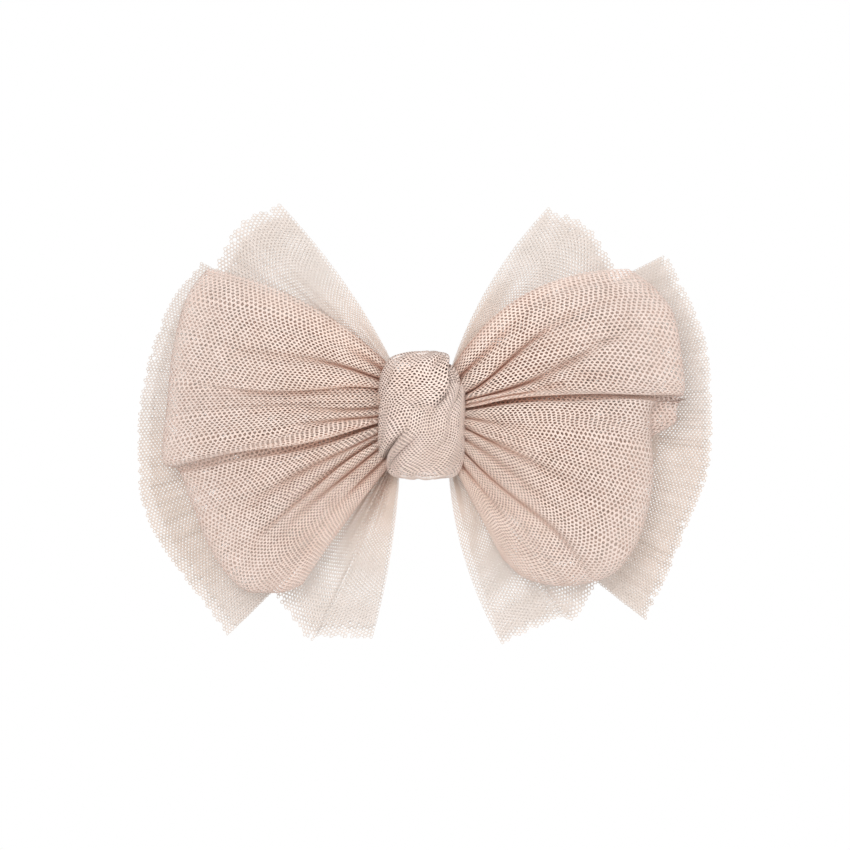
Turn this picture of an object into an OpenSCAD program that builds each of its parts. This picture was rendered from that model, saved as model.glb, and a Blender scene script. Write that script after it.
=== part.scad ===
// Hair bow of pleated tulle on an alligator clip.
// The bow's face looks along -Y, +X is its width and +Z is up. The origin is the middle of the
// gap that holds the hair, between the clip's two arms.

/* [Tail sheets] */
// Length of the inner tail sheets from the waist to the cut edge
tail_a_reach = 54; // [40:1:60]
// Length of the outer tail sheets at their top edge
tail_b_top_reach = 60; // [45:1:66]
// Length of the outer tail sheets at their bottom edge
tail_b_bottom_reach = 65; // [45:1:68]
// Thickness of the space that one pleated sheet takes up
sheet_depth = 1.3; // [0.8:0.1:1.6]
// How much shorter the front sheet of each pair is cut
edge_step = 2; // [1:0.5:3]
// Half height of the gathered waist of a sheet
waist_half = 8.6; // [6:0.2:9]

/* [Loops] */
// How far the left loop reaches from the middle
loop_left_reach = 57; // [45:1:60]
// How far the right loop reaches from the middle
loop_right_reach = 56.5; // [45:0.5:60]
// Depth of a loop from its back layer to its front layer
loop_depth = 10.4; // [8:0.2:12]
// Radius of the soft fold at a loop's outer edge
loop_edge = 3.6; // [2:0.1:4]

/* [Knot] */
// Width of the knot across the bow
knot_w = 17.6; // [14:0.2:20]
// Height of the knot
knot_h = 27.8; // [24:0.2:30]
// Thickness of the knot's strip where it passes behind the clip's arm
knot_back = 0.5; // [0.3:0.1:0.8]
// How far the crossing stands proud of the loops
knot_crown = 3; // [2:0.2:4]

/* [Clip] */
// Length of the upper arm
arm_len = 50; // [46:1:56]
// Width of the arms at the hinge
arm_w = 8; // [8:0.1:9]
// Width of the arms at the tip
tip_w = 6; // [5:0.1:6.5]
// Thickness of the arms' sheet steel
steel_t = 0.8; // [0.6:0.1:0.9]
// Depth of the gap that holds the hair
hair_gap = 3.2; // [2.8:0.1:3.8]
// Diameter of the hinge pin
pin_d = 1.4; // [1.2:0.1:1.5]
// Distance from the hinge pin to the tip
jaw_len = 38; // [34:1:40]
// Angle of the lower arm's finger lever, away from the upper arm
lever_splay = 34; // [32:1:38]
// Diameter of the spring's wire
wire_d = 0.5; // [0.4:0.05:0.6]

/* [Hidden] */
$fn = 32;

// clip, across the gap
arm_face = hair_gap / 2;              // inner face of each arm, from the middle of the gap
arm_back = arm_face + steel_t;        // outer face of each arm
tip_x = -26;                          // tip of the jaw
pin_x = tip_x + jaw_len;              // hinge axis, along Z at y = 0
pin_r = pin_d / 2;
ear_r = arm_face - 0.15;              // round end of an ear, clear of the other arm
ear_t = 0.6;
upper_ear_z = arm_w / 2 - ear_t;      // inner face of the upper arm's ears
ear_gap = 0.15;                       // side play between the two pairs of ears
lower_ear_z = upper_ear_z - ear_gap - ear_t;
run_fit = 0.03;                       // radial play of the moving ears on the pin
pin_head_r = pin_r + 0.45;
pin_head_t = 0.4;
flange_t = 0.7;                       // toothed side flange of the lower arm
lever_len = 14.5;
tooth_pitch = 2;
tooth_h = 0.9;
teeth = 8;
pad_t = 0.5;

// layers in front of the clip
lining_t = 0.35;
glue_t = 0.45;
layer_gap = 0.1;
thread_t = 0.5;
lining_y = arm_back + lining_t;
glue_y = lining_y + glue_t;
bundle_back = glue_y + thread_t;      // back of the gathered waist
function sheet_y(i) = bundle_back + i * (sheet_depth + layer_gap);
loop_y = sheet_y(4);
bundle_front = loop_y + 5;
loop_front = loop_y + loop_depth;
wrap_half = 5;                        // half width of the knot's strip behind the loops
waist_x = wrap_half + 0.2;            // the straight, gathered stretch of each sheet
loop_waist_x = knot_w / 2 + 0.8;
knot_front = loop_front + knot_crown;

function polar(r, a) = [r * cos(a), r * sin(a)];

// Puts an outline that is drawn as [x, z] at the depth y, thick towards the front.
module upright(y, depth) {
    translate([0, -y, 0]) rotate([90, 0, 0]) linear_extrude(height = depth) children();
}

// ---- sheets ----

// The cut edge of one wing, an arc from [reach, angle] at one corner to that at the other.
function cut_edge(from, to) = let (steps = 24) [for (i = [0:steps]) let (t = i / steps)
    polar(from[0] + t * (to[0] - from[0]), from[1] + t * (to[1] - from[1]))];

// A sheet gathered at the waist, with a wing that fans out on each side. The corners are
// given as [reach, angle], clockwise from the top right.
module sheet(layer, top_right, bottom_right, bottom_left, top_left) {
    waist = [[waist_x, waist_half], [waist_x, -waist_half], [-waist_x, -waist_half],
        [-waist_x, waist_half]];
    upright(sheet_y(layer), sheet_depth)
        polygon(concat([waist[0]], cut_edge(top_right, bottom_right), [waist[1], waist[2]],
            cut_edge(bottom_left, top_left), [waist[3]]));
}

// The front sheet of each pair is cut a little shorter, so that both raw edges show.
module tail_b(layer, shorter) {
    color("mistyrose") sheet(layer, [tail_b_top_reach + 3 - shorter, 33],
        [tail_b_bottom_reach + 1.5 - shorter, -42.5 + shorter / 2],
        [tail_b_bottom_reach - shorter, 228 - shorter / 2], [tail_b_top_reach - shorter, 146]);
}

module tail_a(layer, shorter) {
    color("mistyrose") sheet(layer, [tail_a_reach - 0.5 - shorter, 59],
        [tail_a_reach - 0.5 - shorter, -71 + shorter / 4],
        [tail_a_reach - 4 - shorter, 256.8 - shorter / 4], [tail_a_reach + 2 - shorter, 124.5]);
}

module tail_b_back() { tail_b(0, 0); }
module tail_b_front() { tail_b(1, edge_step); }
module tail_a_back() { tail_a(2, 0); }
module tail_a_front() { tail_a(3, edge_step); }

// A lobe of a loop: soft and thick at its outer edge, drawn in at the waist. It has one inner
// corner beside the knot, where only its back is filled.
module lobe(corners, inner, neck) {
    mid = loop_y + loop_edge;
    hull() {
        for (c = concat(corners, [inner])) translate([c.x, -mid, c.y]) sphere(loop_edge);
        for (c = corners) translate([0.62 * c.x, -loop_y - loop_depth + loop_edge, 0.62 * c.y])
            sphere(loop_edge);
        for (z = neck) translate([sign(corners[0].x) * loop_waist_x, -bundle_front + 2.4, z])
            sphere(2.3);
    }
}

module loop_strip() {
    left = loop_left_reach - loop_edge;
    right = loop_right_reach - loop_edge;
    color("rosybrown") intersection() {
        union() {
            lobe([polar(left * 0.96, 145), polar(left, 165), polar(left, 187)],
                polar(left * 0.5, 136), [6, -1]);
            lobe([polar(left * 0.94, 194), polar(left * 0.93, 214), polar(left * 0.92, 228)],
                polar(left * 0.79, 234), [1, -6]);
            lobe([polar(right * 0.92, 38), polar(right, 20), polar(right, 5)],
                polar(right * 0.58, 50), [6, -1]);
            lobe([polar(right * 0.88, 0), polar(right * 0.96, -20), polar(right * 0.96, -44)],
                polar(right * 0.64, -55), [1, -6]);
            translate([-loop_waist_x, -bundle_front, -waist_half])
                cube([2 * loop_waist_x, bundle_front - loop_y, 2 * waist_half]);
        }
        translate([-70, -loop_front, -60]) cube([140, loop_front - loop_y, 120]);
    }
}

// ---- middle ----

// The gathered middle of all the sheets, as a block that grows by a margin.
module bundle(margin, half_length) {
    translate([-half_length, -bundle_front - margin, -waist_half - margin])
        cube([2 * half_length, bundle_front - bundle_back + 2 * margin, 2 * (waist_half + margin)]);
}

module waist_thread() {
    color("tan") difference() {
        bundle(thread_t, wrap_half / 2);
        bundle(0, wrap_half);
    }
}

module knot_band() {
    half_w = knot_w / 2;
    half_h = knot_h / 2;
    soft = 4;
    wrap_join = -loop_y - soft;
    wrap_back = -arm_face + knot_back;
    color("rosybrown") difference() {
        union() {
            // the crossing, in front of the loops' back layer
            intersection() {
                hull() {
                    for (x = [-1, 1], z = [-1, 1]) {
                        translate([x * (half_w - soft), -knot_front + soft + 1.5, z * (half_h - soft - 1.5)])
                            sphere(soft);
                        translate([x * (half_w - soft), wrap_join, z * (half_h - soft)]) sphere(soft);
                    }
                    translate([1, -knot_front + soft, 2]) sphere(soft);
                }
                translate([-knot_w, -knot_front, -knot_h])
                    cube([2 * knot_w, knot_front - loop_y - layer_gap, 2 * knot_h]);
            }
            // the narrower wrap round the sheets and the clip's arm
            translate([-wrap_half, 0, 0]) rotate([90, 0, 90]) linear_extrude(height = 2 * wrap_half)
                polygon([[wrap_join, -half_h + 1], [-bundle_back, -half_h + 2],
                    [wrap_back, -arm_w / 2 - 1], [wrap_back, arm_w / 2 + 1],
                    [-bundle_back, half_h - 2], [wrap_join, half_h - 1]]);
        }
        bundle(thread_t + layer_gap, knot_w);
        // room for the clip's arm with its lining and glue
        translate([-knot_w, -bundle_back, -arm_w / 2])
            cube([2 * knot_w, bundle_back - arm_face, arm_w]);
    }
}

module glue_pad() {
    color("ivory") translate([-7, -glue_y, -3.4]) cube([14, glue_t, 6.8]);
}

// ---- clip ----

// Plan of an arm, drawn as [x, z], with a round nose at the tip.
module arm_plan(from_x, to_x) {
    nose = tip_w / 2;
    translate([from_x + nose, 0]) circle(nose);
    polygon([[from_x + nose, -nose], [pin_x - 6, -arm_w / 2], [to_x, -arm_w / 2],
        [to_x, arm_w / 2], [pin_x - 6, arm_w / 2], [from_x + nose, nose]]);
}

// A pair of ears round the hinge axis. side is the arm that they stand on, -1 or 1 along Y,
// and splay is how far that arm bends away past the hinge.
module ears(inner_z, side, splay, hole_r) {
    root = arm_face + 0.2;
    base = side > 0 ? 0 : -root;
    for (s = [-1, 1]) translate([pin_x, 0, s > 0 ? inner_z : -inner_z - ear_t]) difference() {
        union() {
            cylinder(r = ear_r, h = ear_t);
            translate([-ear_r, base, 0]) cube([ear_r, root, ear_t]);
            rotate([0, 0, splay]) translate([-0.1, base, 0]) cube([ear_r + 0.1, root, ear_t]);
        }
        translate([0, 0, -1]) cylinder(r = hole_r, h = ear_t + 2);
    }
}

module clip_upper_arm() {
    color("silver") {
        upright(arm_face, steel_t) arm_plan(tip_x, tip_x + arm_len);
        ears(upper_ear_z, -1, 0, pin_r);
    }
}

// Side profile of the lower arm as [x, y]: an arched jaw, a flat back and a splayed lever.
module lower_profile() {
    // the jaw and the lever keep the same distance from the hinge axis
    bend = pin_x - arm_face * tan(lever_splay / 2);
    outer_bend = pin_x - arm_back * tan(lever_splay / 2);
    lever_end = [bend, arm_face] + lever_len * [cos(lever_splay), sin(lever_splay)];
    off = steel_t * [-sin(lever_splay), cos(lever_splay)];
    tip_y = -arm_face + 0.3;
    polygon([[tip_x, tip_y], [tip_x + 5, arm_face - 0.9], [tip_x + 10, arm_face],
        [bend, arm_face], lever_end, lever_end + off, [outer_bend, arm_back],
        [tip_x + 9.6, arm_back], [tip_x + 4.6, arm_back - 0.9], [tip_x, tip_y + steel_t]]);
}

// Teeth along both edges of the jaw, which bite towards the upper arm.
module toothed_flanges() {
    start = tip_x + 3;
    floor_y = -arm_face + 0.25;
    profile = concat([[start, arm_face]],
        [for (i = [0:teeth - 1]) each [
            [start + i * tooth_pitch, floor_y + tooth_h],
            [start + (i + 0.5) * tooth_pitch, floor_y]]],
        [[start + teeth * tooth_pitch, floor_y + tooth_h], [start + teeth * tooth_pitch, arm_face + 0.1]]);
    for (s = [-1, 1]) translate([0, 0, s > 0 ? tip_w / 2 - flange_t : -tip_w / 2])
        linear_extrude(height = flange_t) polygon(profile);
}

module clip_lower_arm() {
    reach = 30;
    color("silver") {
        intersection() {
            translate([0, 0, -arm_w]) linear_extrude(height = 2 * arm_w) lower_profile();
            upright(-reach, 2 * reach) arm_plan(tip_x, tip_x + arm_len);
        }
        difference() {
            toothed_flanges();
            translate([0, arm_back, 0]) cube([200, 0.1, 200], center = true);
        }
        ears(lower_ear_z, 1, lever_splay, pin_r + run_fit);
    }
}

module hinge_pin() {
    half = arm_w / 2;
    color("gray") translate([pin_x, 0, 0]) {
        translate([0, 0, -half]) cylinder(r = pin_r, h = arm_w);
        for (z = [-half - pin_head_t, half]) translate([0, 0, z]) cylinder(r = pin_head_r, h = pin_head_t);
    }
}

module torsion_spring() {
    coil_half = 1.1;
    coil_in = pin_r + 0.12;
    coil_wall = wire_d + 0.1;         // the coil's four turns, as a plain tube
    coil_r = coil_in + coil_wall / 2;
    leg = 7;
    leg_tilt = 1.4;                   // brings each leg's end close to the arm that it presses on
    color("gray") translate([pin_x, 0, 0]) {
        difference() {
            translate([0, 0, -coil_half]) cylinder(r = coil_in + coil_wall, h = 2 * coil_half);
            translate([0, 0, -2 * coil_half]) cylinder(r = coil_in, h = 4 * coil_half);
        }
        for (s = [-1, 1]) rotate([0, 0, s > 0 ? lever_splay + leg_tilt : -leg_tilt])
            translate([0, s * coil_r, s * (coil_half - wire_d)])
                rotate([0, 90, 0]) cylinder(d = wire_d, h = leg, $fn = 16);
    }
}

module ribbon_lining() {
    color("mistyrose") upright(arm_back, lining_t) arm_plan(tip_x + 0.3, pin_x + 9);
}

module grip_pad() {
    color("whitesmoke") upright(arm_face - pad_t, pad_t)
        translate([tip_x + 2.5, -1.9]) square([15, 3.8]);
}

clip_upper_arm();
clip_lower_arm();
hinge_pin();
torsion_spring();
ribbon_lining();
grip_pad();
glue_pad();
tail_b_back();
tail_b_front();
tail_a_back();
tail_a_front();
loop_strip();
waist_thread();
knot_band();
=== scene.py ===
"""Hair bow of pleated tulle. The net of every sheet is modelled as real hexagonal mesh.

Lengths are in millimetres until mesh_object and loft turn them into metres. Depth is measured
from the middle of the gap that the hair goes in, forwards, so a depth d lies at y = -d."""
import math

import bpy
import numpy as np
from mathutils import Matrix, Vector


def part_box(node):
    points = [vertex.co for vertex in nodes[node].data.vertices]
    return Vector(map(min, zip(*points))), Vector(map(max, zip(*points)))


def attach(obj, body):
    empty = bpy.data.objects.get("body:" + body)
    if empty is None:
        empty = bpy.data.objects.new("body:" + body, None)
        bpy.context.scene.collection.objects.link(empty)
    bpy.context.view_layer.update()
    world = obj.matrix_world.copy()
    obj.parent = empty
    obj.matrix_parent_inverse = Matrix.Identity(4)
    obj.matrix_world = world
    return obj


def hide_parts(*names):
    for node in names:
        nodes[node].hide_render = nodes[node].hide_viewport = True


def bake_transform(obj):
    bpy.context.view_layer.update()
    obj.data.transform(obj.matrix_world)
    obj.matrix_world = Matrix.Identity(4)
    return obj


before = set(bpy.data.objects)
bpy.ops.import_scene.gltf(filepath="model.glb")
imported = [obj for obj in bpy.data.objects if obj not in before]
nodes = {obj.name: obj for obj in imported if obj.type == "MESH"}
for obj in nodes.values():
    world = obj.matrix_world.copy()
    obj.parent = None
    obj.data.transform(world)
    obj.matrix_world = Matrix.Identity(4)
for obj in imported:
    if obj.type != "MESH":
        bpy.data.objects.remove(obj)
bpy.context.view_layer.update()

MM = 0.001


def box(name):
    """A CAD node's lowest and highest corners, in millimetres."""
    low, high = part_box(name)
    return np.array(low) / MM, np.array(high) / MM


def depth_of(name):
    low, high = box(name)
    return -(low[1] + high[1]) / 2


LOOP_BACK, LOOP_FRONT = -box("loop_strip")[1][1], -box("loop_strip")[0][1]
KNOT_LOW, KNOT_HIGH = box("knot_band")
THREAD_LOW, THREAD_HIGH = box("waist_thread")
WAIST_HALF = THREAD_HIGH[2] - 0.6  # half height of the gathered middles of the sheets

# ---------------------------------------------------------------- curves


def smooth(x):
    x = np.clip(x, 0, 1)
    return x * x * (3 - 2 * x)


def curve_through(points, at):
    """A smooth curve through given points, at fractions of the way along it."""
    p = np.array(points, float)
    knots = np.linspace(0, 1, len(p))
    slopes = np.gradient(p, knots, axis=0) * knots[1]
    k = np.clip(np.searchsorted(knots, at, side="right") - 1, 0, len(p) - 2)
    f = ((at - knots[k]) / knots[1])[..., None]
    ends = p[k] * (1 + 2 * f) * (1 - f) ** 2 + p[k + 1] * f * f * (3 - 2 * f)
    return ends + slopes[k] * f * (1 - f) ** 2 + slopes[k + 1] * f * f * (f - 1)


def along(points, at):
    """Places on the curve through given points, at fractions of its length."""
    fine = curve_through(points, np.linspace(0, 1, 400))
    length = np.concatenate([[0], np.cumsum(np.linalg.norm(np.diff(fine, axis=0), axis=1))])
    at = np.asarray(at) * length[-1]
    return np.stack([np.interp(at, length, axis) for axis in fine.T], -1)


def three(u, values):
    """A value that changes smoothly from the knot, through the middle, to the outer edge."""
    inner, middle, outer = values
    return inner * (1 - u) * (1 - 2 * u) + 4 * middle * u * (1 - u) + outer * u * (2 * u - 1)


def even(points, count):
    """The same lines through space, with evenly spaced points along axis 0."""
    gaps = np.linalg.norm(np.diff(points, axis=0), axis=2)
    distance = np.vstack([np.zeros(points.shape[1]), np.cumsum(gaps, axis=0)])
    out = np.empty((count, *points.shape[1:]))
    for j in range(points.shape[1]):
        at = np.linspace(0, distance[-1, j], count)
        for axis in range(3):
            out[:, j, axis] = np.interp(at, distance[:, j], points[:, j, axis])
    return out


# ---------------------------------------------------------------- meshes


def in_scene(name, data):
    """A new object in the scene, from a mesh, a light or a camera."""
    made = bpy.data.objects.new(name, data)
    bpy.context.scene.collection.objects.link(made)
    return made


def stand_for(piece, replaced):
    """Puts a piece that stays with the bow in the place of a CAD node."""
    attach(piece, "bow")
    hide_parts(replaced)


def mesh_object(name, points, faces, material):
    """A smooth mesh from points in millimetres and faces that are all quads."""
    faces = np.asarray(faces, np.int32)
    mesh = bpy.data.meshes.new(name)
    mesh.vertices.add(len(points))
    mesh.vertices.foreach_set("co", (np.asarray(points, float) * MM).ravel())
    mesh.loops.add(faces.size)
    mesh.loops.foreach_set("vertex_index", faces.ravel())
    mesh.polygons.add(len(faces))
    starts = np.arange(0, faces.size, faces.shape[1], dtype=np.int32)
    mesh.polygons.foreach_set("loop_start", starts)
    mesh.update(calc_edges=True)
    mesh.polygons.foreach_set("use_smooth", np.ones(len(faces), bool))
    mesh.materials.append(material)
    return in_scene(name, mesh)


def grid_faces(rows, cols, ring=False):
    """Quads of a grid of points. With ring, the last column joins the first."""
    i, j = np.meshgrid(np.arange(rows - 1), np.arange(cols if ring else cols - 1), indexing="ij")
    i, j = i.ravel(), j.ravel()
    k = (j + 1) % cols
    return np.stack([i * cols + j, i * cols + k, (i + 1) * cols + k, (i + 1) * cols + j], 1)


def loft(name, rings, material):
    """A closed solid through rings of points, capped at both ends."""
    rings = np.asarray(rings, float)
    count, around = rings.shape[:2]
    faces = grid_faces(count, around, ring=True).tolist()
    faces.append(list(range(around))[::-1])
    faces.append([(count - 1) * around + k for k in range(around)])
    mesh = bpy.data.meshes.new(name)
    mesh.from_pydata((rings.reshape(-1, 3) * MM).tolist(), [], faces)
    mesh.polygons.foreach_set("use_smooth", np.ones(len(faces), bool))
    mesh.materials.append(material)
    return in_scene(name, mesh)


def tube(name, path, radius, material, around=10):
    """A round wire or thread along a path."""
    path = np.asarray(path, float)
    ahead = np.gradient(path, axis=0)
    ahead /= np.linalg.norm(ahead, axis=1, keepdims=True)
    side = np.cross(ahead[0], (0.3, 0.5, 0.8))
    rings = []
    for place, forward in zip(path, ahead):
        side = side - forward * (side @ forward)
        side /= np.linalg.norm(side)
        other = np.cross(forward, side)
        turn = np.linspace(0, 2 * np.pi, around, endpoint=False)[:, None]
        rings.append(place + radius * (np.cos(turn) * side + np.sin(turn) * other))
    return loft(name, rings, material)


# ---------------------------------------------------------------- net


class Surface:
    """A sheet in space: a grid of points at even steps along and across its flat cut."""

    def __init__(self, points, width=None):
        self.points = points
        self.length = float(np.linalg.norm(np.diff(points, axis=0), axis=2).sum(axis=0).mean())
        across = float(np.linalg.norm(np.diff(points, axis=1), axis=2).sum(axis=1).mean())
        self.width = width or across
        normals = np.cross(np.gradient(points, axis=1), np.gradient(points, axis=0))
        self.normals = normals / np.maximum(np.linalg.norm(normals, axis=2, keepdims=True), 1e-9)

    def at(self, s, t, lift):
        """Places on the sheet from places on its flat cut, lifted off it by a little."""
        rows, cols = self.points.shape[:2]
        i, j = s / self.length * (rows - 1), t / self.width * (cols - 1)
        i, j = np.clip(i, 0, rows - 1), np.clip(j, 0, cols - 1)
        i0, j0 = np.minimum(i.astype(int), rows - 2), np.minimum(j.astype(int), cols - 2)
        u, v = (i - i0)[:, None], (j - j0)[:, None]

        def mixed(grid):
            near = grid[i0, j0] * (1 - v) + grid[i0, j0 + 1] * v
            far = grid[i0 + 1, j0] * (1 - v) + grid[i0 + 1, j0 + 1] * v
            return near * (1 - u) + far * u

        return mixed(self.points) + mixed(self.normals) * lift[:, None]


def cell_centres(surface, pitch, row, worn_end, rng):
    """Middles of the net's cells on the flat cut. Only whole cells are kept, and some of those
    in the last two lines at a cut end are worn away, so that the end is as jagged as the real
    one."""
    last_worn, next_worn = 0.22, 0.04
    rows, count = int(surface.width / row), int(surface.length / pitch)
    j, i = (a.ravel() for a in np.meshgrid(np.arange(rows), np.arange(count), indexing="ij"))
    lost = (i == count - 1) & (j % 2 == 1)
    if worn_end:
        lost |= (i == count - 1) & (rng.random(len(i)) < last_worn)
        lost |= (i == count - 2) & (rng.random(len(i)) < next_worn)
    i, j = i[~lost], j[~lost]
    return np.stack([(i + 0.5 + 0.5 * (j % 2)) * pitch, (j + 0.5) * row], 1)


def net(name, surface, material, seed, pitch, row, hole, rise, worn_end=False):
    """The hexagonal net of a sheet: each cell is a ring of yarn round a hole. pitch and row
    are the steps along and between the rows, hole is a hole's width as a share of its cell, and
    rise is how far the middle of the yarn stands over the edge of a hole."""
    corner_stray, hole_spread = 0.045, 0.05
    rng = np.random.default_rng(seed)
    centres = cell_centres(surface, pitch, row, worn_end, rng)
    bend = pitch * pitch / (8 * row)
    side, tip = row / 2 - bend, row / 2 + bend
    half = pitch / 2
    ring = [(half, side), (0, tip), (-half, side), (-half, -side), (0, -tip), (half, -side)]
    corners = (centres[:, None] + np.array(ring)).reshape(-1, 2)
    keys = np.floor(corners * 1000 + 0.3217).astype(np.int64)  # alike where cells meet
    _, first, index = np.unique(
        keys[:, 0] * 10_000_000 + keys[:, 1], return_index=True, return_inverse=True
    )
    index = index.reshape(-1, 6)
    shared = corners[first] + rng.normal(0, corner_stray * pitch, (len(first), 2))
    middle = shared[index].mean(axis=1, keepdims=True)
    size = hole * (1 + rng.normal(0, hole_spread, (len(centres), 1, 1)))
    inner = middle + (shared[index] - middle) * size
    flat = np.vstack([shared, inner.reshape(-1, 2)])
    lift = np.concatenate([np.full(len(shared), rise), np.full(inner.size // 2, -rise)])
    rim = len(shared) + np.arange(len(centres) * 6).reshape(-1, 6)
    quads = [index, np.roll(index, -1, 1), np.roll(rim, -1, 1), rim]
    points = surface.at(flat[:, 0], flat[:, 1], lift)
    piece = mesh_object(name, points, np.stack(quads, -1).reshape(-1, 4), material)
    yarn_share = 1 - hole * hole
    return piece, len(centres) * pitch * row * yarn_share * MM * MM


def sheet_of_net(name, surface, material, mesh_kind, replaced, slot, held, rests_on, seed, **worn):
    """A net piece, put in the place of a CAD node. Its area is that of the yarn alone."""
    piece, area = net(name, surface, material, seed, **mesh_kind, **worn)
    stand_for(piece, replaced)
    flat = (max(surface.width, LEAST_FLAT) * MM, max(surface.length, LEAST_FLAT) * MM)


LEAST_FLAT = 10  # the least width and length given to a sheet's flat size; no sheet may be declared narrower
LOOP_MESH = {"pitch": 1.02, "row": 0.8, "hole": 0.62, "rise": 0.05}
TAIL_MESH = {"pitch": 0.78, "row": 0.66, "hole": 0.5, "rise": 0.03}
INNER_TAIL_MESH = {"pitch": 0.86, "row": 0.72, "hole": 0.55, "rise": 0.04}
KNOT_MESH = {"pitch": 0.70, "row": 0.58, "hole": 0.6, "rise": 0.05}
INNER_KNOT_MESH = {"pitch": 0.58, "row": 0.5, "hole": 0.58, "rise": 0.05}

# ---------------------------------------------------------------- materials


def srgb(*colour):
    return tuple(((c / 255 + 0.055) / 1.055) ** 2.4 for c in colour)


def new_material(name):
    material = bpy.data.materials.new(name)
    material.use_nodes = True
    tree = material.node_tree
    return material, tree, tree.nodes["Principled BSDF"]


def node(tree, kind, **inputs):
    made = tree.nodes.new(kind)
    for key, value in inputs.items():
        made.inputs[key.replace("_", " ")].default_value = value
    return made


def noise(tree, scale, detail=3.0):
    place = tree.nodes.new("ShaderNodeTexCoord")
    made = node(tree, "ShaderNodeTexNoise", Scale=scale, Detail=detail)
    tree.links.new(place.outputs["Object"], made.inputs["Vector"])
    return made.outputs["Fac"]


def ramp(tree, factor, stops):
    made = tree.nodes.new("ShaderNodeValToRGB")
    elements = made.color_ramp.elements
    while len(elements) < len(stops):
        elements.new(0.5)
    for element, (place, _) in zip(elements, stops):
        element.position = place
    for element, (_, colour) in zip(elements, stops):
        element.color = (*colour, 1)
    tree.links.new(factor, made.inputs["Fac"])
    return made.outputs["Color"]


def roughness(tree, shader, factor, low, high):
    made = node(tree, "ShaderNodeMapRange", To_Min=low, To_Max=high)
    tree.links.new(factor, made.inputs["Value"])
    tree.links.new(made.outputs["Result"], shader.inputs["Roughness"])


def bump(tree, shader, height, strength, distance):
    made = node(tree, "ShaderNodeBump", Strength=strength, Distance=distance)
    tree.links.new(height, made.inputs["Height"])
    tree.links.new(made.outputs["Normal"], shader.inputs["Normal"])


def tinted(tree, colour, factor, stops, strength=None):
    """The colour, multiplied by a tint that follows a factor, as strongly as strength says."""
    tint = tree.nodes.new("ShaderNodeMix")
    tint.data_type = "RGBA"
    tint.blend_type = "MULTIPLY"
    tint.inputs[0].default_value = 1.0
    tree.links.new(colour, tint.inputs[6])
    tree.links.new(ramp(tree, factor, stops), tint.inputs[7])
    if strength:
        tree.links.new(strength, tint.inputs[0])
    return tint.outputs[2]


def openness(tree, reach):
    """0 for yarn that is shut in by other layers or down in a fold, 1 for open yarn."""
    made = node(tree, "ShaderNodeAmbientOcclusion", Distance=reach)
    made.samples = 4
    return made.outputs["AO"]


def backwards(tree):
    """0 at the front of the loops, 1 at their back."""
    place = tree.nodes.new("ShaderNodeTexCoord")
    parts = tree.nodes.new("ShaderNodeSeparateXYZ")
    tree.links.new(place.outputs["Object"], parts.inputs[0])
    made = node(tree, "ShaderNodeMapRange", From_Min=-LOOP_FRONT * MM, From_Max=-LOOP_BACK * MM)
    tree.links.new(parts.outputs["Y"], made.inputs["Value"])
    return made.outputs["Result"]


def outwards(tree):
    """0 inside the knot, 1 near the tips."""
    knot_edge, near_tips = 0.008, 0.055
    place = tree.nodes.new("ShaderNodeTexCoord")
    size = tree.nodes.new("ShaderNodeVectorMath")
    size.operation = "LENGTH"
    tree.links.new(place.outputs["Object"], size.inputs[0])
    made = node(tree, "ShaderNodeMapRange", From_Min=knot_edge, From_Max=near_tips)
    tree.links.new(size.outputs["Value"], made.inputs["Value"])
    return made.outputs["Result"]


def direction(tree):
    """0 straight down from the knot, 0.5 out to either side and 1 straight up."""
    place = tree.nodes.new("ShaderNodeTexCoord")
    parts = tree.nodes.new("ShaderNodeSeparateXYZ")
    tree.links.new(place.outputs["Object"], parts.inputs[0])
    angle = tree.nodes.new("ShaderNodeMath")
    angle.operation = "ARCTAN2"
    tree.links.new(parts.outputs["Z"], angle.inputs[0])
    sideways = tree.nodes.new("ShaderNodeMath")
    sideways.operation = "ABSOLUTE"
    tree.links.new(parts.outputs["X"], sideways.inputs[0])
    tree.links.new(sideways.outputs[0], angle.inputs[1])
    made = node(tree, "ShaderNodeMapRange", From_Min=-math.pi / 2, From_Max=math.pi / 2)
    tree.links.new(angle.outputs[0], made.inputs["Value"])
    return made.outputs["Result"]


def shadow_behind(tree):
    """How strong the painted shadow on the back of the loops is. It is weakest at the knot, the
    rim and the bottom, and patchy elsewhere."""
    out = [(0.02, (0.45,) * 3), (0.2, (1.0,) * 3), (0.5, (0.8,) * 3), (0.95, (0.23,) * 3)]
    below = [(0.137, (0.45,) * 3), (0.22, (1, 1, 1))]
    patches = [(0.4, (0.75,) * 3), (0.58, (1, 1, 1))]
    strength = ramp(tree, outwards(tree), out)
    strength = tinted(tree, strength, direction(tree), below)
    return tinted(tree, strength, noise(tree, 75, 1), patches)


def behind_the_loops(tree, colour):
    """The loops' back layer has painted shadow, and their tips are a little cooler."""
    shadow = [(0.36, (1, 1, 1)), (0.56, (0.72, 0.54, 0.48)), (0.85, (0.32, 0.20, 0.165))]
    tips = [(0.35, (1, 1, 1)), (0.95, (0.84, 0.86, 0.89))]
    # painted shadow: the back of the loops is darkened, the more the further back it lies
    colour = tinted(tree, colour, backwards(tree), shadow, shadow_behind(tree))
    return tinted(tree, colour, outwards(tree), tips)


def warm_tails(tree, colour):
    """Where the tails are gathered, and low at their sides, they look warmer."""
    plain, gathered, low = (1, 1, 1), (1.0, 0.9, 0.83), (0.985, 0.95, 0.92)
    sides = [(0.25, plain), (0.32, low), (0.46, low), (0.52, plain)]
    out = [(0.2, gathered), (0.65, plain), (0.85, plain), (1.0, (0.965, 0.95, 0.94))]
    colour = tinted(tree, colour, direction(tree), sides)
    return tinted(tree, colour, outwards(tree), out)


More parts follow.
